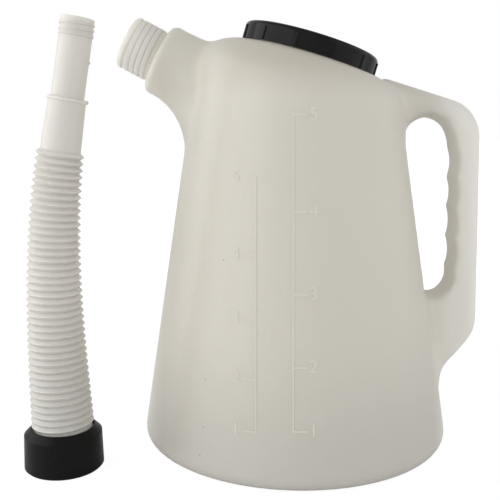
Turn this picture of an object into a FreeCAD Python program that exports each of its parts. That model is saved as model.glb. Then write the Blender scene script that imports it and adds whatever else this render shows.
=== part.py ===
import FreeCAD, Part
import math
import os

# Five-litre oil measuring jug with a screw lid, and its flexible pouring spout.
# Millimetres. The origin is the middle of the jug's base, +Z is up and +X points to the handle.
# The spout stands beside the jug on its own screw collar, as it is put down when not in use.

# Jug body, blown from one parison
BODY_RADIUS = 103.3
SIDE_TAPER = 0.153
SHOULDER_ROUND = 22.0
BASE_ROUND = 6.5
WALL = 1.8
PUSH_RADIUS = 84.0
PUSH_HEIGHT = 2.5

# Filler mouth and the tilted plane that it stands on
FILLER_TILT = 16.4
FILLER_X = 6.5
FILLER_Z = 250.4
FILLER_RADIUS = 41.2
FILLER_BORE = 38.4
FILLER_HEIGHT = 9.3

# Pouring neck, its axis leaning over to -X
NECK_TILT = -62.5
NECK_X = -90.6
NECK_Z = 252.4
NECK_RADIUS = 16.6
NECK_BORE = 14.4
NECK_LENGTH = 21.9
NECK_LIP = 1.4
BOSS_RADIUS = 23.2
BOSS_FACE = 0.5
BOSS_LENGTH = 8.0
BOSS_ROUND = 4.2

# Handle, a hollow grip with a finger hole
GRIP_WIDTH = 29.0
GRIP_ROUND = 7.5
GRIP_BACK_X = 121.6
GRIP_TOP_ROUND = 24.0
SHOULDER_X = 56.0
SHOULDER_Z = 239.0
HEEL_Z = 71.6
HEEL_ROUND = 25.0
WAIST_X = 100.6
WAIST_Z = 44.2
WAIST_ROUND = 14.0
HOLE_TOP_X = 85.0
HOLE_TOP_Z = 196.7
HOLE_TOP_RADIUS = 17.4
HOLE_LOW_X = 92.3
HOLE_LOW_Z = 107.3
HOLE_LOW_RADIUS = 11.8
FINGER_TOP_Z = 184.0
FINGER_PITCH = 20.1
FINGER_COUNT = 4
FINGER_DEPTH = 2.2

# Lid and its seal
LID_RADIUS = 44.5
LID_HEIGHT = 11.8
LID_WALL = 2.0
LID_TOP = 2.0
LID_ROUND = 2.6
LID_FOOT_GAP = 0.9
RIB_COUNT = 12
RIB_WIDTH = 2.4
RIB_PROUD = 0.8
RIB_HEIGHT = 8.6
RIB_START = 0.5
LID_SUNK = 0.8
SEAL_THICKNESS = 1.2
SEAL_SIDE_GAP = 0.5
SEAT_GAP = 0.1

# Spout: a corrugated tube with a smooth outlet pipe, held in a screw collar
SPOUT_X = -146.0
SPOUT_Y = -61.5
SPOUT_WALL = 1.3
FOLD_COUNT = 41
FOLD_PITCH = 4.1
FOLD_RADIUS_LOW = 18.9
FOLD_RADIUS_TOP = 14.1
FOLD_DEPTH_LOW = 1.7
FOLD_DEPTH_TOP = 2.4
LEAN_START = -2.4
LEAN_END = 9.8
PIPE_RADIUS_LOW = 11.7
PIPE_RADIUS_MID = 10.8
PIPE_LENGTH = 28.5
BEAD_RADIUS = 11.6
BEAD_HEIGHT = 2.4
OUTLET_RADIUS = 9.5
OUTLET_LENGTH = 45.0
SPIGOT_RADIUS = 18.4
SPIGOT_LENGTH = 4.6
FLANGE_RADIUS = 19.8
FLANGE_THICKNESS = 1.5
COLLAR_RADIUS = 24.1
COLLAR_HEIGHT = 25.6
COLLAR_DRAFT = 0.6
COLLAR_CHAMFER = 4.0
COLLAR_FOOT_ROUND = 1.2
COLLAR_BORE = 18.3
COLLAR_SHOULDER = 2.4
COLLAR_GAP = 0.3

# Sizes that follow from the ones above
SEAL_FOOT = FILLER_HEIGHT + SEAT_GAP
FLANGE_FOOT = COLLAR_HEIGHT - COLLAR_SHOULDER - COLLAR_GAP - FLANGE_THICKNESS


def vector(x, y, z):
    return FreeCAD.Vector(x, y, z)


def leaning(shape, x, y, z, tilt):
    """The shape, made around +Z at the origin, tilted towards +X and set down at a point."""
    turn = FreeCAD.Rotation(vector(0, 1, 0), tilt)
    shape.Placement = FreeCAD.Placement(vector(x, y, z), turn)
    return shape


def along(x, z, tilt, distance):
    """The point at a distance along an axis that leans by tilt from +Z towards +X."""
    angle = math.radians(tilt)
    return x + distance * math.sin(angle), z + distance * math.cos(angle)


def oval(x, z, tilt, half_height, half_width):
    """A round or taller than wide section for a loft, square to a leaning axis."""
    if half_height - half_width < 0.001:
        curve = Part.Circle(vector(0, 0, 0), vector(0, 0, 1), half_height)
    else:
        curve = Part.Ellipse(vector(0, 0, 0), half_height, half_width)
    return leaning(Part.Wire([curve.toShape()]), x, 0, z, tilt)


def turned(profile):
    """A solid of revolution about +Z from (radius, height) corners."""
    corners = [vector(radius, 0, height) for radius, height in profile]
    face = Part.Face(Part.makePolygon(corners + corners[:1]))
    return face.revolve(vector(0, 0, 0), vector(0, 0, 1), 360)


def body_form(inset):
    """The tapered body: a cone under a tilted platform, with a wide rounded shoulder."""
    peak = FILLER_Z + BODY_RADIUS
    lean = math.atan(SIDE_TAPER)
    low_radius = BODY_RADIUS - inset / math.cos(lean) - SIDE_TAPER * inset
    top_radius = low_radius - SIDE_TAPER * (peak - inset)
    body = Part.makeCone(low_radius, top_radius, peak - inset, vector(0, 0, inset))
    reach = 2 * BODY_RADIUS
    above = Part.makeBox(2 * reach, 2 * reach, reach, vector(-reach, -reach, -inset))
    body = body.cut(leaning(above, FILLER_X, 0, FILLER_Z, FILLER_TILT))
    crown = [edge for edge in body.Edges if edge.BoundBox.ZMin > FILLER_Z / 2 and edge.isClosed()]
    body = body.makeFillet(SHOULDER_ROUND - inset, crown)
    foot = [edge for edge in body.Edges if edge.BoundBox.ZMax < inset + 0.01]
    body = body.makeFillet(BASE_ROUND - inset, foot)
    foot_radius = PUSH_RADIUS + inset
    push_up = Part.makeCone(foot_radius, foot_radius - 2 * PUSH_HEIGHT, PUSH_HEIGHT, vector(0, 0, inset))
    return body.cut(push_up)


def neck_part(radius, start, end, lip=0):
    """A round stretch of the pouring neck, its far edge rounded by the lip."""
    stretch = Part.makeCylinder(radius, end - start, vector(0, 0, start))
    if lip:
        mouth = [edge for edge in stretch.Edges if edge.CenterOfMass.z > end - 0.01]
        stretch = stretch.makeFillet(lip, mouth)
    return leaning(stretch, NECK_X, 0, NECK_Z, NECK_TILT)


def boss_form(inset):
    """The root of the pouring neck: a round step that flares down into the body."""
    step = neck_part(BOSS_RADIUS - inset, -BOSS_LENGTH, -BOSS_FACE - inset, BOSS_ROUND - inset)
    sections = []
    for back, taller, wider, drop in ((BOSS_LENGTH, 0, 0, 0), (20.0, 1.4, 1.0, 0.8), (46.0, 13.8, 9.0, 12.5)):
        x, z = along(NECK_X, NECK_Z, NECK_TILT, -back)
        x, z = along(x, z, NECK_TILT + 90, -drop)
        sections.append(oval(x, z, NECK_TILT, BOSS_RADIUS + taller - inset, BOSS_RADIUS + wider - inset))
    return step.fuse(Part.makeLoft(sections, True, False))


def hole_wire(inset, y):
    """The outline of the finger hole: two half rounds of different size and their tangents."""
    top = vector(HOLE_TOP_X, y, HOLE_TOP_Z)
    low = vector(HOLE_LOW_X, y, HOLE_LOW_Z)
    top_radius = HOLE_TOP_RADIUS + inset
    low_radius = HOLE_LOW_RADIUS + inset
    down = low - top
    line_angle = math.atan2(down.z, down.x)
    spread = math.acos((top_radius - low_radius) / down.Length)

    def on_round(centre, radius, angle):
        return centre + vector(radius * math.cos(angle), 0, radius * math.sin(angle))

    right = line_angle + spread
    left = line_angle - spread
    top_arc = Part.Arc(on_round(top, top_radius, right), on_round(top, top_radius, line_angle + math.pi),
                       on_round(top, top_radius, left))
    low_arc = Part.Arc(on_round(low, low_radius, left), on_round(low, low_radius, line_angle),
                       on_round(low, low_radius, right))
    left_side = Part.LineSegment(on_round(top, top_radius, left), on_round(low, low_radius, left))
    right_side = Part.LineSegment(on_round(low, low_radius, right), on_round(top, top_radius, right))
    edges = [item.toShape() for item in (top_arc, left_side, low_arc, right_side)]
    return Part.Wire(edges)


def hole_tool(inset):
    """The block of air in the finger hole, wide enough to relieve the body for the knuckles."""
    half = GRIP_WIDTH
    return Part.Face(hole_wire(inset, -half)).extrude(vector(0, 2 * half, 0))


def finger_tools(inset):
    """Four shallow hollows for the fingers down the inner side of the grip."""
    rise = FINGER_PITCH / 2
    radius = (rise * rise + FINGER_DEPTH * FINGER_DEPTH) / (2 * FINGER_DEPTH)
    top_edge = HOLE_TOP_X + HOLE_TOP_RADIUS
    low_edge = HOLE_LOW_X + HOLE_LOW_RADIUS
    lean = (low_edge - top_edge) / (HOLE_TOP_Z - HOLE_LOW_Z)
    tools = []
    for finger in range(FINGER_COUNT):
        z = FINGER_TOP_Z - FINGER_PITCH * finger
        edge = top_edge + lean * (HOLE_TOP_Z - z)
        centre = vector(edge + FINGER_DEPTH - radius, -GRIP_WIDTH, z)
        barrel = Part.makeCylinder(radius + inset, 2 * GRIP_WIDTH, centre, vector(0, 1, 0))
        reach = 3 * FINGER_DEPTH + 2 * inset
        corner = vector(edge - 2 * FINGER_DEPTH, -GRIP_WIDTH, z - FINGER_PITCH)
        tools.append(barrel.common(Part.makeBox(reach, 2 * GRIP_WIDTH, 2 * FINGER_PITCH, corner)))
    return tools


def rounded(corners, y):
    """A closed outline in the plane at y: straight sides between corners of given radius."""
    count = len(corners)
    points = [vector(x, y, z) for x, z, radius in corners]
    sides = []
    arcs = []
    for index, (x, z, radius) in enumerate(corners):
        here = points[index]
        back = (points[index - 1] - here).normalize()
        ahead = (points[(index + 1) % count] - here).normalize()
        half_angle = back.getAngle(ahead) / 2
        reach = radius / math.tan(half_angle)
        enter = here + back * reach
        leave = here + ahead * reach
        middle = here + (back + ahead).normalize() * (radius / math.sin(half_angle) - radius)
        sides.append((enter, leave))
        if radius:
            arcs.append(Part.Arc(enter, middle, leave).toShape())
    for index in range(count):
        start = sides[index][1]
        finish = sides[(index + 1) % count][0]
        arcs.append(Part.LineSegment(start, finish).toShape())
    return Part.Wire(Part.__sortEdges__(arcs))


def grip_form(inset):
    """The handle as a rounded slab, from the shoulder over the grip and back into the body."""
    half = GRIP_WIDTH / 2 - inset
    top_z = SHOULDER_Z + (SHOULDER_X - GRIP_BACK_X) * math.tan(math.radians(FILLER_TILT))
    corners = (
        (SHOULDER_X, SHOULDER_Z, 0),
        (GRIP_BACK_X - 3.0, top_z, GRIP_TOP_ROUND),
        (GRIP_BACK_X + 0.6, HEEL_Z, HEEL_ROUND),
        (WAIST_X, WAIST_Z, WAIST_ROUND),
        (WAIST_X - 2.4, WAIST_Z - 20, 0),
        (WAIST_X - 22, WAIST_Z - 28, 0),
        (62.0, 60.0, 0),
        (SHOULDER_X - 6, SHOULDER_Z - 14, 0))
    face = Part.Face(rounded(corners, -half))
    if inset:
        face = face.makeOffset2D(-inset)
    slab = face.extrude(vector(0, 2 * half, 0))
    rims = []
    for edge in slab.Edges:
        middle = edge.valueAt((edge.FirstParameter + edge.LastParameter) / 2)
        shown = middle.x > BODY_RADIUS - SIDE_TAPER * middle.z - 8
        if edge.BoundBox.YLength < 0.01 and shown:
            rims.append(edge)
    return slab.makeFillet(GRIP_ROUND - inset, rims)


def jug_form(inset):
    """The whole blown form without its two mouths: the outside, or with an inset the inside."""
    form = body_form(inset).fuse([boss_form(inset), grip_form(inset)])
    form = form.cut(hole_tool(inset))
    for tool in finger_tools(inset):
        form = form.cut(tool)
    return form


def jug_body():
    filler = Part.makeCylinder(FILLER_RADIUS, FILLER_HEIGHT + WALL, vector(0, 0, -WALL))
    filler = leaning(filler, FILLER_X, 0, FILLER_Z, FILLER_TILT)
    neck = neck_part(NECK_RADIUS, -8, NECK_LENGTH, NECK_LIP)
    outside = jug_form(0).fuse([filler, neck])
    filler_bore = Part.makeCylinder(FILLER_BORE, FILLER_HEIGHT + 4 * WALL, vector(0, 0, -3 * WALL))
    filler_bore = leaning(filler_bore, FILLER_X, 0, FILLER_Z, FILLER_TILT)
    neck_bore = neck_part(NECK_BORE, -12, NECK_LENGTH + 1)
    inside = jug_form(WALL).fuse([filler_bore, neck_bore])
    return outside.cut(inside)


def lid_part():
    """A wide screw lid: a shallow cap with a rounded rim, a sunk top and a dozen grip ribs."""
    foot = LID_FOOT_GAP
    top = foot + LID_HEIGHT
    cap = Part.makeCylinder(LID_RADIUS, LID_HEIGHT, vector(0, 0, foot))
    rim = [edge for edge in cap.Edges if edge.CenterOfMass.z > top - 0.01]
    cap = cap.makeFillet(LID_ROUND, rim)
    bore = Part.makeCylinder(LID_RADIUS - LID_WALL, LID_HEIGHT - LID_TOP, vector(0, 0, foot))
    sunk = Part.makeCylinder(LID_RADIUS - 3 * LID_WALL, LID_SUNK, vector(0, 0, top - LID_SUNK))
    ribs = []
    for index in range(RIB_COUNT):
        corner = vector(LID_RADIUS - LID_WALL / 2, -RIB_WIDTH / 2, foot)
        rib = Part.makeBox(LID_WALL / 2 + RIB_PROUD, RIB_WIDTH, RIB_HEIGHT, corner)
        upright = [edge for edge in rib.Edges
                   if edge.BoundBox.ZLength > RIB_HEIGHT / 2 and edge.CenterOfMass.x > LID_RADIUS]
        rib = rib.makeFillet(RIB_PROUD * 0.9, upright)
        turn = 360.0 / RIB_COUNT * (index + RIB_START)
        rib.rotate(vector(0, 0, 0), vector(0, 0, 1), turn)
        ribs.append(rib)
    cap = cap.fuse(ribs).cut(bore).cut(sunk)
    return leaning(cap, FILLER_X, 0, FILLER_Z, FILLER_TILT)


def seal_part():
    """The foam disc under the lid's top that closes the filler mouth."""
    disc = Part.makeCylinder(LID_RADIUS - LID_WALL - SEAL_SIDE_GAP, SEAL_THICKNESS,
                             vector(0, 0, SEAL_FOOT))
    return leaning(disc, FILLER_X, 0, FILLER_Z, FILLER_TILT)


def spout_stations():
    """Where the spout's line runs: a list of (x, z, lean) for the folds, then the pipe's base."""
    x = SPOUT_X
    z = FLANGE_FOOT + SPIGOT_LENGTH
    stations = [(x, z, LEAN_START)]
    steps = 2 * FOLD_COUNT
    for step in range(steps):
        share = ((step + 0.5) / steps) ** 2
        lean = LEAN_START + (LEAN_END - LEAN_START) * share
        x, z = along(x, z, lean, FOLD_PITCH / 2)
        stations.append((x, z, LEAN_START + (LEAN_END - LEAN_START) * ((step + 1) / steps) ** 2))
    return stations


def circle(x, z, lean, radius):
    """A round section of the spout."""
    turn = Part.Wire([Part.Circle(vector(0, 0, 0), vector(0, 0, 1), radius).toShape()])
    return leaning(turn, x, SPOUT_Y, z, lean)


def spout_form(inset):
    """The spout's outside, or with an inset its bore, run out past both ends."""
    foot = FLANGE_FOOT - (1 if inset else 0)
    sections = [circle(SPOUT_X, foot, 0, SPIGOT_RADIUS - inset)]
    stations = spout_stations()
    steps = len(stations) - 1
    for step, (x, z, lean) in enumerate(stations):
        share = step / steps
        ridge = FOLD_RADIUS_LOW + (FOLD_RADIUS_TOP - FOLD_RADIUS_LOW) * share
        depth = FOLD_DEPTH_LOW + (FOLD_DEPTH_TOP - FOLD_DEPTH_LOW) * share
        radius = ridge if step % 2 else ridge - depth
        sections.append(circle(x, z, lean, radius - inset))
    x, z, lean = stations[-1]
    pipe = [(0.6, PIPE_RADIUS_LOW), (PIPE_LENGTH, PIPE_RADIUS_MID)]
    if not inset:
        pipe.append((PIPE_LENGTH + 0.6, BEAD_RADIUS))
        pipe.append((PIPE_LENGTH + BEAD_HEIGHT - 0.6, BEAD_RADIUS))
    pipe.append((PIPE_LENGTH + BEAD_HEIGHT, OUTLET_RADIUS))
    pipe.append((PIPE_LENGTH + BEAD_HEIGHT + OUTLET_LENGTH + (1 if inset else 0), OUTLET_RADIUS))
    for distance, radius in pipe:
        pipe_x, pipe_z = along(x, z, lean, distance)
        sections.append(circle(pipe_x, pipe_z, lean, radius - inset))
    return Part.makeLoft(sections, True, True)


def spout_tube():
    flange = Part.makeCylinder(FLANGE_RADIUS, FLANGE_THICKNESS, vector(SPOUT_X, SPOUT_Y, FLANGE_FOOT))
    return spout_form(0).fuse(flange).cut(spout_form(SPOUT_WALL))


def collar_part():
    """The spout's screw collar: it turns on the tube, which is held by its flange in a groove."""
    top = COLLAR_HEIGHT
    groove_foot = FLANGE_FOOT - COLLAR_GAP
    groove_top = top - COLLAR_SHOULDER
    groove_radius = FLANGE_RADIUS + COLLAR_GAP
    hole_radius = SPIGOT_RADIUS + COLLAR_GAP
    upper = COLLAR_RADIUS - COLLAR_DRAFT
    collar = turned([
        (COLLAR_BORE, 0), (COLLAR_RADIUS - COLLAR_FOOT_ROUND, 0), (COLLAR_RADIUS, COLLAR_FOOT_ROUND),
        (upper, top - COLLAR_CHAMFER), (upper - COLLAR_CHAMFER, top), (hole_radius, top),
        (hole_radius, groove_top), (groove_radius, groove_top), (groove_radius, groove_foot),
        (COLLAR_BORE, groove_foot)])
    collar.translate(vector(SPOUT_X, SPOUT_Y, 0))
    return collar


parts = {
    "jug_body": jug_body(),
    "lid": lid_part(),
    "lid_seal": seal_part(),
    "spout_tube": spout_tube(),
    "spout_collar": collar_part()}
os.makedirs("parts", exist_ok=True)
for name, shape in parts.items():
    shape.exportStep("parts/" + name + ".step")
    print(name, "valid", shape.isValid(), "solids", len(shape.Solids), "volume", round(shape.Volume),
          "triangles", len(shape.tessellate(0.1)[1]))
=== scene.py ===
# %% [markdown]
# An oil measuring jug of milky blow-moulded plastic stands beside its flexible pouring spout.
# The solids come in as a fixed frame, in metres, with the middle of the jug's base at the origin.
# This file gives every surface its finish, turns the hard seams of the solid jug into soft
# blends, and adds what is too fine for the solids: the screw threads, the neck's rounded lip, the
# raised litre scale, and the small marks of moulding and use.

# %% Load the frame
import math

import bmesh
import bpy
from mathutils import Matrix, Vector


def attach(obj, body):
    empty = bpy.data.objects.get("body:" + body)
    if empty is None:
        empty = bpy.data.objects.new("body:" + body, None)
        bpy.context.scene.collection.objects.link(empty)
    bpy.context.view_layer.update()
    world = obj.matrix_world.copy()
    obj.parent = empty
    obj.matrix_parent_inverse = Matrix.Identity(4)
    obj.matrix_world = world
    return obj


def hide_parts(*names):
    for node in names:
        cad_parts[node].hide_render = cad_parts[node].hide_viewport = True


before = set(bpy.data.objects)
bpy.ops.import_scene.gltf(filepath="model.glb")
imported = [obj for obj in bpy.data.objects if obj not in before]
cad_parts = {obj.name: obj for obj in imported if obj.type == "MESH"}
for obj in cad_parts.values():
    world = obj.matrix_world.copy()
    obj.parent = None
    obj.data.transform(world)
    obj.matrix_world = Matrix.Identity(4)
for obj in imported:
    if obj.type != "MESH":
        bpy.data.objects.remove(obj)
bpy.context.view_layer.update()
bpy.ops.object.select_all(action="DESELECT")
print("nodes", sorted(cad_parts))

# %% [markdown]
# Sizes that the fine pieces share with the solids. They are the real sizes, in metres.
# The filler mouth's axis tilts towards the handle, and the pouring neck's axis leans away from it.

# %% Shared sizes
MM = 0.001
BODY_RADIUS = 103.3 * MM
SIDE_TAPER = 0.153
FILLER_TILT = math.radians(16.4)
FILLER_PLACE = Vector((6.5 * MM, 0, 250.4 * MM))
FILLER_RADIUS = 41.2 * MM
NECK_TILT = math.radians(-62.5)
NECK_PLACE = Vector((-90.6 * MM, 0, 252.4 * MM))
NECK_RADIUS = 16.6 * MM
LID_RADIUS = 44.5 * MM
LID_WALL = 2.0 * MM
SPOUT_FOOT = Vector((-146.0 * MM, -61.5 * MM, 0))
COLLAR_BORE = 18.3 * MM
OUTLET_END = Vector((-128.207 * MM, -61.5 * MM, 268.483 * MM))
OUTLET_RADIUS = 9.5 * MM
OUTLET_LEAN = math.radians(9.8)


def placed(place, tilt):
    """The matrix of a frame that stands at a place with its Z axis tilted from +Z towards +X."""
    return Matrix.Translation(place) @ Matrix.Rotation(tilt, 4, "Y")


NECK_FRAME = placed(NECK_PLACE, NECK_TILT)
FILLER_FRAME = placed(FILLER_PLACE, FILLER_TILT)
OUTLET_FRAME = placed(OUTLET_END, OUTLET_LEAN)
COLLAR_FRAME = placed(SPOUT_FOOT, 0.0)
print("outer radius at 100 mm up:", round(BODY_RADIUS - SIDE_TAPER * 0.1, 4))

# %% [markdown]
# A shader is easier to read as a formula than as a web of links. A small class wraps one output
# socket, so that adding, multiplying or comparing two of them adds the Math node that does it.
# One method makes every other node from its type, its settings and the values of its sockets.

# %% Shader maths
class Wave:
    """One varying value of a material, which can be used in an expression."""

    def __init__(self, material, socket):
        self.material = material
        self.socket = socket

    def maths(self, operation, first, second):
        made = self.material.node("ShaderNodeMath", {"operation": operation}, {0: first, 1: second})
        return made["Value"]

    def __add__(self, other):
        return self.maths("ADD", self, other)

    def __radd__(self, other):
        return self.maths("ADD", other, self)

    def __sub__(self, other):
        return self.maths("SUBTRACT", self, other)

    def __rsub__(self, other):
        return self.maths("SUBTRACT", other, self)

    def __mul__(self, other):
        return self.maths("MULTIPLY", self, other)

    def __lt__(self, other):
        return self.maths("LESS_THAN", self, other)

    def __pow__(self, other):
        return self.maths("POWER", self, other)

    def magnitude(self):
        """The value without its sign."""
        return self.maths("ABSOLUTE", self, 0.0)


class Finish:
    """A material with a Principled shader, built node by node."""

    def __init__(self, name):
        self.material = bpy.data.materials.new(name)
        self.material.use_nodes = True
        self.tree = self.material.node_tree
        self.shader = self.tree.nodes["Principled BSDF"]
        self.made = {}

    def node(self, kind, settings, inputs):
        """Adds a node: its settings first, then the values or links of its sockets."""
        node = self.tree.nodes.new(kind)
        for key, value in settings.items():
            setattr(node, key, value)
        for key, value in inputs.items():
            if isinstance(value, Wave):
                self.tree.links.new(value.socket, node.inputs[key])
            else:
                node.inputs[key].default_value = value
        return {socket.name: Wave(self, socket) for socket in node.outputs if socket.enabled}

    def place(self):
        """Object coordinates, in metres, and their three parts."""
        if "place" not in self.made:
            whole = self.node("ShaderNodeTexCoord", {}, {})["Object"]
            parts = self.node("ShaderNodeSeparateXYZ", {}, {"Vector": whole})
            self.made["place"] = (whole, parts["X"], parts["Y"], parts["Z"])
        return self.made["place"]

    def noise(self, scale, detail, roughness=0.5):
        whole = self.place()[0]
        values = {"Vector": whole, "Scale": scale, "Detail": detail, "Roughness": roughness}
        return self.node("ShaderNodeTexNoise", {}, values)["Fac"]

    def ramp(self, value, start, end):
        """0 below start and 1 above end, with a smooth step between them."""
        values = {"Value": value, "From Min": start, "From Max": end}
        return self.node("ShaderNodeMapRange", {"interpolation_type": "SMOOTHSTEP"}, values)["Result"]

    def mixed(self, share, first, second):
        """A colour between two others."""
        node = self.tree.nodes.new("ShaderNodeMix")
        node.data_type = "RGBA"
        for socket, value in ((node.inputs[0], share), (node.inputs[6], first), (node.inputs[7], second)):
            if isinstance(value, Wave):
                self.tree.links.new(value.socket, socket)
            else:
                socket.default_value = value
        return Wave(self, node.outputs[2])

    def bump(self, height, distance, strength):
        values = {"Height": height, "Distance": distance, "Strength": strength}
        return self.node("ShaderNodeBump", {}, values)["Normal"]

    def set(self, **sockets):
        """Sets or links sockets of the shader: Base_Color is its Base Color socket."""
        for key, value in sockets.items():
            socket = self.shader.inputs[key.replace("_", " ")]
            if isinstance(value, Wave):
                self.tree.links.new(value.socket, socket)
            else:
                socket.default_value = value
        return self.material


def shade(red, green, blue):
    """A linear colour from the 0 to 255 values that a screen shows."""
    def linear(value):
        part = value / 255
        return part / 12.92 if part <= 0.04045 else ((part + 0.055) / 1.055) ** 2.4
    return (linear(red), linear(green), linear(blue), 1.0)


print("milky plastic in linear light:", [round(v, 3) for v in shade(214, 210, 199)])

# %% [markdown]
# The camera stands half a metre in front of the jug, a little above its middle, and looks down
# by nine degrees. Its place and lens come from the ovals of the base, the lid and the two mouths.

# %% Camera
CAMERA_PLACE = (-30.6 * MM, -502.4 * MM, 205.1 * MM)
CAMERA_DOWN = math.radians(9.03)
CAMERA_LENS = 54.0
SENSOR_WIDTH = 36.0
camera_data = bpy.data.cameras.new("camera")
camera_data.lens = CAMERA_LENS
camera_data.sensor_width = SENSOR_WIDTH
camera = bpy.data.objects.new("camera", camera_data)
camera.location = CAMERA_PLACE
camera.rotation_euler = (math.radians(90) - CAMERA_DOWN, 0, 0)
bpy.context.scene.collection.objects.link(camera)
bpy.context.scene.camera = camera
print("camera at", CAMERA_PLACE)

# %% [markdown]
# The jug stands in a white photo tent. The floor glows to the camera and still takes a faint
# shadow near the object, and further away the glow rises until floor and world can't be told
# apart. The world is white to the camera and lights the object at a lower level.
# The tent's walls are three large lamps. The front one is far off and weak, and the side ones are
# close, which draws the soft darker band down the middle of the round body.

# %% Floor, world and lamps
WORLD_LEVEL = 0.62
FLOOR_GLOW = 0.85
GLOW_STRENGTH = 1.1
GLOW_START = 0.22
GLOW_END = 0.6
bpy.ops.mesh.primitive_plane_add(size=30)
floor = bpy.context.object
floor.name = "floor"
floor_finish = Finish("floor_white")
floor_shader = floor_finish.set(Base_Color=(0.75, 0.75, 0.75, 1), Roughness=0.9)
glow = floor_finish.node("ShaderNodeEmission", {}, {"Color": (1, 1, 1, 1), "Strength": GLOW_STRENGTH})
rays = floor_finish.node("ShaderNodeLightPath", {}, {})
floor_mask = floor_finish.tree.nodes.new("ShaderNodeMixShader")
floor_x, floor_y = floor_finish.place()[1:3]
floor_away = (floor_x ** 2.0 + floor_y ** 2.0) ** 0.5
far_glow = floor_finish.ramp(floor_away, GLOW_START, GLOW_END) * (1.0 - FLOOR_GLOW)
floor_share = rays["Is Camera Ray"] * (far_glow + FLOOR_GLOW)
floor_finish.tree.links.new(floor_share.socket, floor_mask.inputs[0])
floor_finish.tree.links.new(floor_finish.shader.outputs[0], floor_mask.inputs[1])
floor_finish.tree.links.new(glow["Emission"].socket, floor_mask.inputs[2])
floor_finish.tree.links.new(floor_mask.outputs[0], floor_finish.tree.nodes["Material Output"].inputs[0])
floor.data.materials.append(floor_shader)

bpy.context.scene.view_settings.view_transform = "Standard"
world = bpy.data.worlds.new("studio")
world.use_nodes = True
bpy.context.scene.world = world
tree = world.node_tree
background = tree.nodes["Background"]
background.inputs["Color"].default_value = (1, 1, 1, 1)
path = tree.nodes.new("ShaderNodeLightPath")
seen = tree.nodes.new("ShaderNodeMath")
seen.operation = "MAXIMUM"
tree.links.new(path.outputs["Is Camera Ray"], seen.inputs[0])
tree.links.new(path.outputs["Is Transmission Ray"], seen.inputs[1])
level = tree.nodes.new("ShaderNodeMapRange")
level.inputs["To Min"].default_value = WORLD_LEVEL
level.inputs["To Max"].default_value = 1.0
tree.links.new(seen.outputs[0], level.inputs["Value"])
tree.links.new(level.outputs[0], background.inputs["Strength"])


def lamp(name, place, aim, width, height, watts):
    """A large soft lamp, like a lit wall of a photo tent, that faces a point."""
    data = bpy.data.lights.new(name, "AREA")
    data.shape = "RECTANGLE"
    data.size = width
    data.size_y = height
    data.energy = watts
    item = bpy.data.objects.new(name, data)
    item.location = place
    item.rotation_euler = (Vector(aim) - Vector(place)).to_track_quat("-Z", "Y").to_euler()
    bpy.context.scene.collection.objects.link(item)


lamp("left_wall", (-0.66, -0.21, 0.35), aim=(0, 0, 0.2), width=1.15, height=0.9, watts=4.1)
lamp("right_wall", (0.72, -0.24, 0.35), aim=(0, 0, 0.2), width=1.1, height=0.9, watts=1.9)
lamp("front_wall", (0, -1.5, 0.35), aim=(0, 0, 0.15), width=2.0, height=1.6, watts=2.4)

# %% [markdown]
# The jug is milky polyethylene: light goes a little way in, so its shadows are soft and warm, and
# its skin is waxy with a fine grain from the mould. Subsurface light gives the softness and one slow
# noise the uneven wall. The tone is painted darker and cooler towards the foot, as painted shade.
# The handle and the neck, at the two ends of X, are painted paler, as painted light from behind
# them, and the crown of the shoulder round the lid is painted darker, as painted shade. The raised
# marks are so slight that they go without the inner light, and their tones are painted light: the
# right scale paler, like a raised line that catches the light, and the left a little less.
# A few specks of dirt sit on the front wall, each given by its X and Z in millimetres.

# %% Milky plastic
SPECK_RADIUS = 0.45 * MM
SPECK_SHARE = 0.75
SPECK_TONE = shade(70, 64, 55)
# Painted light: the jug's two ends of X, the handle and the neck, are paler, as if lit from behind.
PAINTED_GLOW_START = 84 * MM
PAINTED_GLOW_END = 106 * MM
PAINTED_GLOW_TONE = shade(240, 235, 224)
# Painted shade: the crown of the shoulder round the lid is darker.
CROWN_START = 222 * MM
CROWN_END = 250 * MM
CROWN_LEFT = -62 * MM
CROWN_RIGHT = -34 * MM
CROWN_PAINTED_SHADE = shade(194, 188, 175)
SPECKS = ((-57.0, 59.5), (-58.5, 31.5), (-60.5, 14.5), (-35.5, 2.5), (-46.0, 130.5))


def milky_plastic(name, pale, foot_shade, low_z, high_z, gloss, depth=0.35, painted_share=0.0, specks=()):
    """Waxy plastic, pale from high_z up and painted darker below low_z as shade, and for the jug paler at
    its two ends as painted light and darker atop its shoulder as painted shade.
    """
    skin = Finish(name)
    x, y, z = skin.place()[1:]
    cloud = skin.noise(9.0, 1.0)
    # Painted shade: darker and cooler from high_z down to low_z and below it.
    above_foot_shade = skin.ramp(z, low_z, high_z)
    tone = skin.mixed(above_foot_shade - cloud * 0.25, foot_shade, pale)
    # Painted light at the two ends of X.
    painted_glow = skin.ramp(x.magnitude(), PAINTED_GLOW_START, PAINTED_GLOW_END)
    tone = skin.mixed(painted_glow * painted_share, tone, PAINTED_GLOW_TONE)
    # Painted shade on the crown round the lid.
    crown_shade = skin.ramp(z, CROWN_START, CROWN_END) * skin.ramp(x, CROWN_LEFT, CROWN_RIGHT)
    tone = skin.mixed(crown_shade * painted_share, tone, CROWN_PAINTED_SHADE)
    for speck_x, speck_z in specks:
        away = ((x - speck_x * MM) ** 2.0 + (z - speck_z * MM) ** 2.0) ** 0.5
        spot = (1.0 - skin.ramp(away, SPECK_RADIUS * 0.5, SPECK_RADIUS)) * (y < 0.0)
        tone = skin.mixed(spot * SPECK_SHARE, tone, SPECK_TONE)
    grain = skin.noise(2600.0, 2.0)
    slow = skin.noise(26.0, 1.0)
    skin.set(
        Base_Color=tone, Roughness=gloss + cloud * 0.06,
        Subsurface_Weight=depth, Subsurface_Radius=(0.5, 0.45, 0.36), Subsurface_Scale=0.012,
        IOR=1.5, Specular_IOR_Level=0.5, Normal=skin.bump(slow * 0.3 + grain * 0.03, 0.0012, 0.5))
    return skin.material


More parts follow.
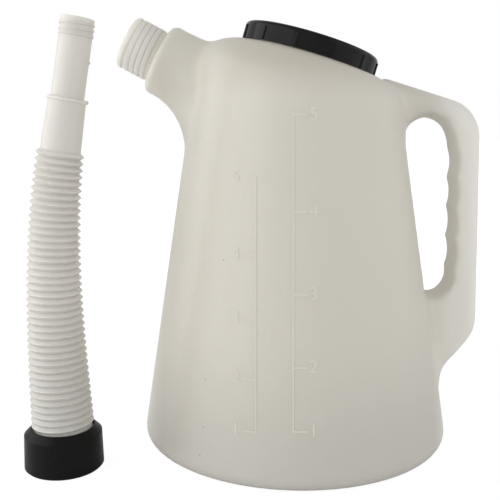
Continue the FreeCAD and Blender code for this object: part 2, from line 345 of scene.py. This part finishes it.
LID_SLOT = "black_lid_plastic"
COLLAR_SLOT = "black_collar_plastic"
JUG_PALE = shade(214, 209, 197)
# Painted shade: the jug's tone towards the foot.
JUG_FOOT_SHADE = shade(200, 196, 187)
SPOUT_PALE = shade(223, 218, 209)
# Painted shade: the spout's tone towards the collar at its foot.
SPOUT_FOOT_SHADE = shade(203, 200, 192)
# Painted light: the right scale's tone is paler, like a raised line that catches the light, the left's a
# little less.
RIGHT_SCALE_PAINTED_LIGHT = shade(225, 220, 209)
LEFT_SCALE_PAINTED_LIGHT = shade(217, 212, 201)
JUG_RANGE = (0.0, 95 * MM)
MARK_RANGE = (-80 * MM, 60 * MM)
SPOUT_RANGE = (20 * MM, 130 * MM)
JUG_SKIN = milky_plastic(
    "milky_jug_plastic", JUG_PALE, JUG_FOOT_SHADE, *JUG_RANGE, gloss=0.32, painted_share=1.0, specks=SPECKS)
# The two scales are the jug's plastic in painted-light tones.
LIT_RIGHT_MARK_SKIN = milky_plastic(
    "right_mark_painted_light", RIGHT_SCALE_PAINTED_LIGHT, JUG_PALE, *MARK_RANGE, gloss=0.3, depth=0.0)
LIT_LEFT_MARK_SKIN = milky_plastic(
    "left_mark_painted_light", LEFT_SCALE_PAINTED_LIGHT, JUG_PALE, *MARK_RANGE, gloss=0.3, depth=0.0)
SPOUT_SKIN = milky_plastic("milky_spout_plastic", SPOUT_PALE, SPOUT_FOOT_SHADE, *SPOUT_RANGE, gloss=0.3)
print("materials", JUG_SKIN.name, LIT_RIGHT_MARK_SKIN.name, LIT_LEFT_MARK_SKIN.name, SPOUT_SKIN.name)

# %% [markdown]
# The lid and the spout's collar are black injection-moulded plastic. The lid is glossy and mirrors
# the tent with a slight ripple; the collar is duller and carries a fine spark grain.

# %% Black plastics and foam
def black_plastic(name, colour, gloss, shine, grain_size, grain_depth):
    """Black moulded plastic with faint handling marks in its gloss."""
    skin = Finish(name)
    smear = skin.noise(24.0, 1.0)
    grain = skin.noise(grain_size, 2.0)
    tone = skin.mixed(skin.ramp(smear, 0.4, 0.75), colour, shade(26, 26, 25))
    skin.set(
        Base_Color=tone, Roughness=gloss + smear * 0.08, Specular_IOR_Level=shine,
        Normal=skin.bump(grain + smear * 0.6, grain_depth, 0.5))
    return skin.material


def foam(name):
    """Pale closed-cell foam, matt and finely pitted."""
    skin = Finish(name)
    cells = skin.noise(1400.0, 3.0, 0.7)
    tone = skin.mixed(cells, shade(198, 196, 190), shade(226, 224, 219))
    skin.set(Base_Color=tone, Roughness=0.9, Normal=skin.bump(cells, 0.0003, 0.7))
    return skin.material


LID_SKIN = black_plastic(
    LID_SLOT, shade(13, 13, 12), gloss=0.1, shine=0.16, grain_size=300.0, grain_depth=0.00008)
COLLAR_SKIN = black_plastic(
    COLLAR_SLOT, shade(16, 16, 16), gloss=0.3, shine=0.12, grain_size=900.0, grain_depth=0.0002)
FOAM_SKIN = foam("seal_foam")
NODE_FINISH = {
    "jug_body": JUG_SKIN, "spout_tube": SPOUT_SKIN, "lid": LID_SKIN,
    "spout_collar": COLLAR_SKIN, "lid_seal": FOAM_SKIN}
for name, finish in NODE_FINISH.items():
    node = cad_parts[name]
    node.data.materials.clear()
    node.data.materials.append(finish)
print("finished", len(NODE_FINISH), "nodes")

# %% [markdown]
# The solids meet in hard seams, but a blown jug flows from its shoulder into the handle without
# one. So its outer wall is copied, closed, wrapped in an even net by a voxel Remesh and smoothed
# where a seam was: at the neck's root, beside the handle and round the finger hole. The net is
# then opened at the two mouths and joined to the solid's own neck, filler ring and inner wall.
# Each pair of numbers below says where the smoothing starts to rise or fall, and where it ends.

# %% Jug skin
NET_SIZE = 2.0 * MM
SMOOTH_ROUNDS = 44
PLAIN_SHARE = 0.06
HOLE_SHARE = 0.4
NECK_WALL_MIDDLE = 15.5 * MM
MOUTH_DEPTH = 6 * MM
EDGE_MARGIN = 3 * MM
MERGE_DISTANCE = 1e-6
FACET_MARGIN = 0.05 * MM
FILLER_WALL_MIDDLE = 39.8 * MM
NECK_FOOT = 3 * MM
FILLER_FOOT = 1 * MM
HOLE_TOP = Vector((85.0 * MM, 0, 196.7 * MM))
HOLE_LOW = Vector((92.3 * MM, 0, 107.3 * MM))
HOLE_TOP_RADIUS = 17.4 * MM
HOLE_LOW_RADIUS = 11.8 * MM
SKIN_ANGLE = math.radians(35)
GRIP_INSIDE = (4 * MM, 10 * MM)
GRIP_OUTSIDE = (24 * MM, 36 * MM)
GRIP_START = (36 * MM, 56 * MM)
WALL_REACH = (8 * MM, 16 * MM)
WALL_FOOT = (28 * MM, 45 * MM)
SHOULDER_FOOT = (198 * MM, 215 * MM)
ROOT_REACH = (44 * MM, 64 * MM)
ROOT_FRONT = (-9 * MM, -5 * MM)
ROOT_BACK = (-70 * MM, -54 * MM)
HOLE_REACH = (3 * MM, 8 * MM)


def rise(value, start, end):
    """0 before start and 1 after end, with a smooth step between them."""
    share = min(1.0, max(0.0, (value - start) / (end - start)))
    return share * share * (3 - 2 * share)


def from_hole(point):
    """How far a point is from the edge of the finger hole, seen from the side."""
    flat = Vector((point.x, 0, point.z))
    line = HOLE_LOW - HOLE_TOP
    share = min(1.0, max(0.0, (flat - HOLE_TOP).dot(line) / line.length_squared))
    radius = HOLE_TOP_RADIUS + (HOLE_LOW_RADIUS - HOLE_TOP_RADIUS) * share
    return abs((flat - HOLE_TOP - line * share).length - radius)


def seam_share(point, neck_back):
    """How strongly a point of the wall is smoothed: 1 at a soft blend, little elsewhere."""
    side = abs(point.y)
    off_body = abs(math.hypot(point.x, point.y) - BODY_RADIUS + SIDE_TAPER * point.z)
    beside_grip = rise(side, *GRIP_INSIDE) * (1 - rise(side, *GRIP_OUTSIDE))
    beside_grip *= rise(point.x, *GRIP_START)
    along_wall = beside_grip * (1 - rise(off_body, *WALL_REACH)) * rise(point.z, *WALL_FOOT)
    on_shoulder = beside_grip * rise(point.z, *SHOULDER_FOOT)
    local = neck_back @ point
    reach = math.hypot(local.x, local.y)
    root = (1 - rise(reach, *ROOT_REACH)) * (1 - rise(local.z, *ROOT_FRONT))
    root *= rise(local.z, *ROOT_BACK)
    hole = HOLE_SHARE * (1 - rise(from_hole(point), *HOLE_REACH))
    return max(along_wall, on_shoulder, root, hole, PLAIN_SHARE)


def in_mouth(point, back, radius, depth):
    """Whether a point lies inside a leaning cylinder and above its foot."""
    local = back @ point
    return math.hypot(local.x, local.y) < radius and local.z > -depth


def outer_wall(net, tubes):
    """The faces of the outer wall: all that hang together with the handle's back, tubes apart."""
    first = max(net.faces, key=lambda face: face.calc_center_median().x)
    outer = {first}
    queue = [first]
    while queue:
        for edge in queue.pop().edges:
            for face in edge.link_faces:
                if face not in outer and face not in tubes:
                    outer.add(face)
                    queue.append(face)
    return outer


def softened(net, neck_back):
    """A new object from a closed form, in an even net that is smoothed where seams were."""
    mesh = bpy.data.meshes.new("jug_skin")
    net.to_mesh(mesh)
    skin = bpy.data.objects.new("jug_skin", mesh)
    bpy.context.scene.collection.objects.link(skin)
    bpy.ops.object.select_all(action="DESELECT")
    skin.select_set(True)
    bpy.context.view_layer.objects.active = skin
    remesh = skin.modifiers.new("net", "REMESH")
    remesh.mode = "VOXEL"
    remesh.voxel_size = NET_SIZE
    bpy.ops.object.modifier_apply(modifier="net")
    group = skin.vertex_groups.new(name="seams")
    for vertex in skin.data.vertices:
        group.add([vertex.index], seam_share(vertex.co, neck_back), "REPLACE")
    smooth = skin.modifiers.new("soften", "SMOOTH")
    smooth.factor = 0.5
    smooth.iterations = SMOOTH_ROUNDS
    smooth.vertex_group = "seams"
    bpy.ops.object.modifier_apply(modifier="soften")
    skin.vertex_groups.clear()
    return skin


def open_mouth(net, back, radius):
    """Takes the net away inside a mouth and draws its edge into the middle of the mouth's wall."""
    gone = [face for face in net.faces if in_mouth(face.calc_center_median(), back, radius, MOUTH_DEPTH)]
    bmesh.ops.delete(net, geom=gone, context="FACES")
    front = back.inverted()
    for vertex in net.verts:
        if vertex.is_boundary and in_mouth(vertex.co, back, radius + EDGE_MARGIN, MOUTH_DEPTH):
            local = back @ vertex.co
            stretch = radius / math.hypot(local.x, local.y)
            vertex.co = front @ Vector((local.x * stretch, local.y * stretch, local.z))


def jug_skin():
    """The jug's whole wall, with soft blends outside and the solid's own surface inside."""
    neck_back = NECK_FRAME.inverted()
    filler_back = FILLER_FRAME.inverted()
    net = bmesh.new()
    net.from_mesh(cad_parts["jug_body"].data)
    bmesh.ops.remove_doubles(net, verts=net.verts, dist=MERGE_DISTANCE)
    tubes = set()
    for face in net.faces:
        middle = face.calc_center_median()
        if in_mouth(middle, neck_back, NECK_RADIUS + FACET_MARGIN, NECK_FOOT):
            tubes.add(face)
        if in_mouth(middle, filler_back, FILLER_RADIUS + FACET_MARGIN, FILLER_FOOT):
            tubes.add(face)
    outer = outer_wall(net, tubes)
    rest = net.copy()
    outer_numbers = {face.index for face in outer}
    outer_copies = [face for face in rest.faces if face.index in outer_numbers]
    bmesh.ops.delete(rest, geom=outer_copies, context="FACES")
    bmesh.ops.delete(net, geom=[face for face in net.faces if face not in outer], context="FACES")
    print("outer faces", len(net.faces), "other faces", len(rest.faces))
    bmesh.ops.holes_fill(net, edges=[edge for edge in net.edges if edge.is_boundary], sides=0)
    print("open edges after closing", sum(edge.is_boundary for edge in net.edges))
    skin = softened(net, neck_back)
    net.clear()
    net.from_mesh(skin.data)
    open_mouth(net, neck_back, NECK_WALL_MIDDLE)
    open_mouth(net, filler_back, FILLER_WALL_MIDDLE)
    inner = bpy.data.meshes.new("inner")
    rest.to_mesh(inner)
    net.from_mesh(inner)
    net.to_mesh(skin.data)
    net.free()
    rest.free()
    bpy.data.meshes.remove(inner)
    skin.data.materials.append(JUG_SKIN)
    bpy.ops.object.shade_smooth_by_angle(angle=SKIN_ANGLE)
    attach(skin, "jug")
    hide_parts("jug_body")
    print("jug_skin", len(skin.data.polygons), "faces")
    return skin


JUG = jug_skin()

# %% [markdown]
# A screw thread is a ridge that climbs round a cylinder. A small rounded section is spun by the
# Screw modifier, which turns and lifts it at once. Its inner half is sunk into the wall, so the
# thread grows out of it, and its ends are tapered down towards the wall. The same modifier,
# turned once without climbing, spins the neck's rounded lip.

# %% Thread and ring helpers
SECTION_POINTS = 12
STEPS_PER_TURN = 96
FADE_ANGLE = math.radians(35)
END_SHARE = 0.05
CREST_POWER = 0.7
SUNK = 0.4 * MM
WELD_DISTANCE = 1e-7
PIECE_ANGLE = math.radians(40)


def section(name, points):
    """A flat closed outline in the plane of X and Z, as the active object."""
    bpy.ops.object.select_all(action="DESELECT")
    bpy.ops.mesh.primitive_circle_add(vertices=len(points), radius=1, fill_type="NOTHING")
    item = bpy.context.object
    item.name = name
    for vertex, (reach, height) in zip(item.data.vertices, points):
        vertex.co = (reach, 0, height)
    return item


def finished(item, matrix, body, finish):
    """Turns the normals out, sets a piece down in its frame and says what it belongs to."""
    bpy.ops.object.mode_set(mode="EDIT")
    bpy.ops.mesh.select_all(action="SELECT")
    bpy.ops.mesh.remove_doubles(threshold=WELD_DISTANCE)
    bpy.ops.mesh.normals_make_consistent(inside=False)
    bpy.ops.object.mode_set(mode="OBJECT")
    item.data.transform(matrix)
    item.data.materials.clear()
    item.data.materials.append(finish)
    bpy.ops.object.shade_smooth_by_angle(angle=PIECE_ANGLE)
    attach(item, body)
    print(item.name, len(item.data.polygons), "faces")
    return item


def ring(name, points, matrix, body, finish):
    """A closed section spun once round the Z axis of a placed frame."""
    item = section(name, points)
    screw = item.modifiers.new("spin", "SCREW")
    screw.axis = "Z"
    screw.steps = STEPS_PER_TURN
    screw.render_steps = STEPS_PER_TURN
    screw.use_merge_vertices = True
    screw.merge_threshold = MERGE_DISTANCE
    bpy.ops.object.modifier_apply(modifier="spin")
    return finished(item, matrix, body, finish)


def thread(name, radius, proud, width, pitch, turns, start, matrix, body, finish, inward=False):
    """A helical ridge on a cylinder about the Z axis of a placed frame."""
    count = int(STEPS_PER_TURN * turns)
    side = -1.0 if inward else 1.0
    sunk = radius - side * SUNK
    points = []
    for index in range(SECTION_POINTS):
        angle = 2 * math.pi * index / SECTION_POINTS
        out = proud * max(0.0, math.sin(angle)) ** CREST_POWER - SUNK * max(0.0, -math.sin(angle))
        points.append((radius + side * out, start + width / 2 * math.cos(angle)))
    ridge = section(name, points)
    screw = ridge.modifiers.new("climb", "SCREW")
    screw.axis = "Z"
    screw.angle = 2 * math.pi * turns
    screw.screw_offset = pitch * turns
    screw.iterations = 1
    screw.steps = count
    screw.render_steps = count
    screw.use_smooth_shade = False
    bpy.ops.object.modifier_apply(modifier="climb")
    end = 2 * math.pi * turns
    for vertex in ridge.data.vertices:
        x, y, z = vertex.co
        angle = (z - start) / pitch * 2 * math.pi
        share = min(1.0, max(0.0, min(angle, end - angle) / FADE_ANGLE))
        reach = math.hypot(x, y)
        height = END_SHARE + (1 - END_SHARE) * math.sin(share * math.pi / 2)
        wanted = sunk + (reach - sunk) * height
        vertex.co.x = x * wanted / reach
        vertex.co.y = y * wanted / reach
    bpy.ops.object.mode_set(mode="EDIT")
    bpy.ops.mesh.select_all(action="SELECT")
    bpy.ops.mesh.fill_holes(sides=SECTION_POINTS)
    bpy.ops.object.mode_set(mode="OBJECT")
    return finished(ridge, matrix, body, finish)


LID_PITCH = 4.0 * MM
NECK_PITCH = 3.7 * MM
OUTLET_PITCH = 3.1 * MM
LID_THREAD_FRAME = FILLER_FRAME @ Matrix.Rotation(math.radians(180), 4, "Z")
OUTLET_THREAD_FRAME = OUTLET_FRAME @ Matrix.Rotation(math.radians(200), 4, "Z")
thread("neck_thread", NECK_RADIUS, proud=0.6 * MM, width=3.7 * MM, pitch=NECK_PITCH, turns=4.1,
       start=1.6 * MM, matrix=NECK_FRAME, body="jug", finish=JUG_SKIN)
thread("filler_thread", FILLER_RADIUS, proud=0.8 * MM, width=1.7 * MM, pitch=LID_PITCH, turns=1.3,
       start=2.6 * MM, matrix=FILLER_FRAME, body="jug", finish=JUG_SKIN)
thread("lid_thread", LID_RADIUS - LID_WALL, proud=0.7 * MM, width=1.6 * MM, pitch=LID_PITCH, turns=1.2,
       start=2.9 * MM, matrix=LID_THREAD_FRAME, body="lid", finish=LID_SKIN, inward=True)
thread("collar_thread", COLLAR_BORE, proud=0.9 * MM, width=2.0 * MM, pitch=NECK_PITCH, turns=3.4,
       start=4.0 * MM, matrix=COLLAR_FRAME, body="spout_collar",
       finish=COLLAR_SKIN, inward=True)
thread("outlet_thread", OUTLET_RADIUS, proud=0.55 * MM, width=1.5 * MM, pitch=OUTLET_PITCH, turns=2.6,
       start=-10.6 * MM, matrix=OUTLET_THREAD_FRAME, body="jug", finish=SPOUT_SKIN)

# %% [markdown]
# The neck ends in a rounded lip. Its outline, in millimetres from the neck's axis and along it,
# is spun into a ring round the end of the plain tube.

# %% Neck lip
LIP_OUTLINE = (
    (14.45, 20.6), (14.7, 21.4), (15.2, 21.85), (15.8, 21.6), (16.5, 21.0), (16.95, 20.1),
    (17.15, 19.2), (17.1, 18.4), (16.8, 17.9), (16.3, 17.7), (15.4, 17.9))
lip_points = [(reach * MM, height * MM) for reach, height in LIP_OUTLINE]
ring("neck_lip", lip_points, NECK_FRAME, "jug", JUG_SKIN)

# %% [markdown]
# The mould leaves two small nubs on the right of the spout's outlet, on its parting line, and two
# pips on the front of the collar. Each is a flattened ball that is half sunk in the wall.

# %% Nubs and pips
NUB_SIZE = (2.0 * MM, 1.4 * MM, 2.0 * MM)
BEAD_NUB_SIZE = (2.0 * MM, 1.4 * MM, 2.2 * MM)
PIP_SIZE = (1.2 * MM, 1.0 * MM, 1.2 * MM)


def pip(name, size, place, matrix, body, finish):
    """A small rounded bump left by the mould."""
    bpy.ops.object.select_all(action="DESELECT")
    bpy.ops.mesh.primitive_uv_sphere_add(segments=16, ring_count=8, radius=0.5)
    item = bpy.context.object
    item.name = name
    item.data.transform(Matrix.Translation(place) @ Matrix.Diagonal(Vector((*size, 1.0))))
    return finished(item, matrix, body, finish)


pip("outlet_nub", NUB_SIZE, (OUTLET_RADIUS, 0, -23.8 * MM), OUTLET_FRAME, "jug", SPOUT_SKIN)
pip("bead_nub", BEAD_NUB_SIZE, (11.5 * MM, 0, -46.2 * MM), OUTLET_FRAME, "jug", SPOUT_SKIN)
pip("collar_pip_low", PIP_SIZE, (0.9 * MM, -23.6 * MM, 18.0 * MM), COLLAR_FRAME,
    "spout_collar", COLLAR_SKIN)
pip("collar_pip_high", PIP_SIZE, (0.9 * MM, -21.7 * MM, 23.4 * MM), COLLAR_FRAME,
    "spout_collar", COLLAR_SKIN)

# %% [markdown]
# The litre scale is moulded on the front wall: two lines, each with five short ticks and plain
# numbers. Every mark starts flat in front of the jug, is pressed onto the wall by a Shrinkwrap
# modifier that projects it along Y, and gets its thickness from Solidify.

# %% Litre scale
MARK_PROUD = 0.25 * MM
LINE_WIDTH = 0.75 * MM
DIGIT_HEIGHT = 7.0 * MM
TICK_LENGTH = 8.0 * MM
RIGHT_LINE = -6.0 * MM
RIGHT_MARKS = (36.1 * MM, 72.0 * MM, 113.1 * MM, 159.6 * MM, 214.0 * MM)
LEFT_LINE = -27.2 * MM
LEFT_MARKS = (34.4 * MM, 64.2 * MM, 97.9 * MM, 134.3 * MM, 178.6 * MM)
MARK_START = -130 * MM
DIGIT_GAP = 3.6 * MM
DIGIT_LIFT = 0.4 * MM
CAPITAL_SHARE = 0.7
BAR_CELLS = 8


def pressed(mark):
    """Lays a flat mark on the jug's front wall and gives it its thickness."""
    wrap = mark.modifiers.new("press", "SHRINKWRAP")
    wrap.target = JUG
    wrap.wrap_method = "PROJECT"
    wrap.use_project_x = False
    wrap.use_project_y = True
    wrap.use_project_z = False
    wrap.use_positive_direction = True
    wrap.use_negative_direction = False
    thick = mark.modifiers.new("thick", "SOLIDIFY")
    thick.thickness = 2 * MARK_PROUD
    thick.offset = 0.0
    for name in ("press", "thick"):
        bpy.ops.object.modifier_apply(modifier=name)
    return mark


def bar(x, z, width, height):
    """A flat bar in front of the jug, divided into cells so that it can follow the wall."""
    bpy.ops.object.select_all(action="DESELECT")
    turn = (math.radians(90), 0, 0)
    bpy.ops.mesh.primitive_grid_add(
        x_subdivisions=BAR_CELLS, y_subdivisions=BAR_CELLS, size=1, rotation=turn)
    item = bpy.context.object
    item.scale = (width, height, 1)
    item.location = (x, MARK_START, z)
    bpy.ops.object.transform_apply(location=True, rotation=True, scale=True)
    return pressed(item)


def digit(text, x, z):
    """A plain number, centred on a point in front of the jug."""
    bpy.ops.object.select_all(action="DESELECT")
    bpy.ops.object.text_add()
    item = bpy.context.object
    item.data.body = text
    item.data.size = DIGIT_HEIGHT / CAPITAL_SHARE
    item.data.align_x = "CENTER"
    item.data.align_y = "CENTER"
    bpy.ops.object.convert(target="MESH")
    upright = Matrix.Rotation(math.radians(90), 4, "X")
    item.data.transform(Matrix.Translation((x, MARK_START, z)) @ upright)
    return pressed(item)


def litre_scale(name, line_x, marks, side, finish):
    """A line with a tick and a number at each litre, on its right for side 1 and left for side -1."""
    middle = (marks[0] + marks[-1]) / 2
    items = [bar(line_x, middle, LINE_WIDTH, marks[-1] - marks[0] + LINE_WIDTH)]
    for number, z in enumerate(marks):
        items.append(bar(line_x + side * TICK_LENGTH / 2, z, TICK_LENGTH, LINE_WIDTH))
        items.append(digit(str(number + 1), line_x + side * (TICK_LENGTH + DIGIT_GAP), z + DIGIT_LIFT))
    bpy.ops.object.select_all(action="DESELECT")
    for item in items:
        item.select_set(True)
    bpy.context.view_layer.objects.active = items[0]
    bpy.ops.object.join()
    scale = bpy.context.object
    scale.name = name
    scale.data.materials.clear()
    scale.data.materials.append(finish)
    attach(scale, "jug")
    print(name, len(scale.data.polygons), "faces")


litre_scale("right_scale", RIGHT_LINE, RIGHT_MARKS, 1, LIT_RIGHT_MARK_SKIN)
litre_scale("left_scale", LEFT_LINE, LEFT_MARKS, -1, LIT_LEFT_MARK_SKIN)

# %% Finish
bpy.ops.object.select_all(action="DESELECT")
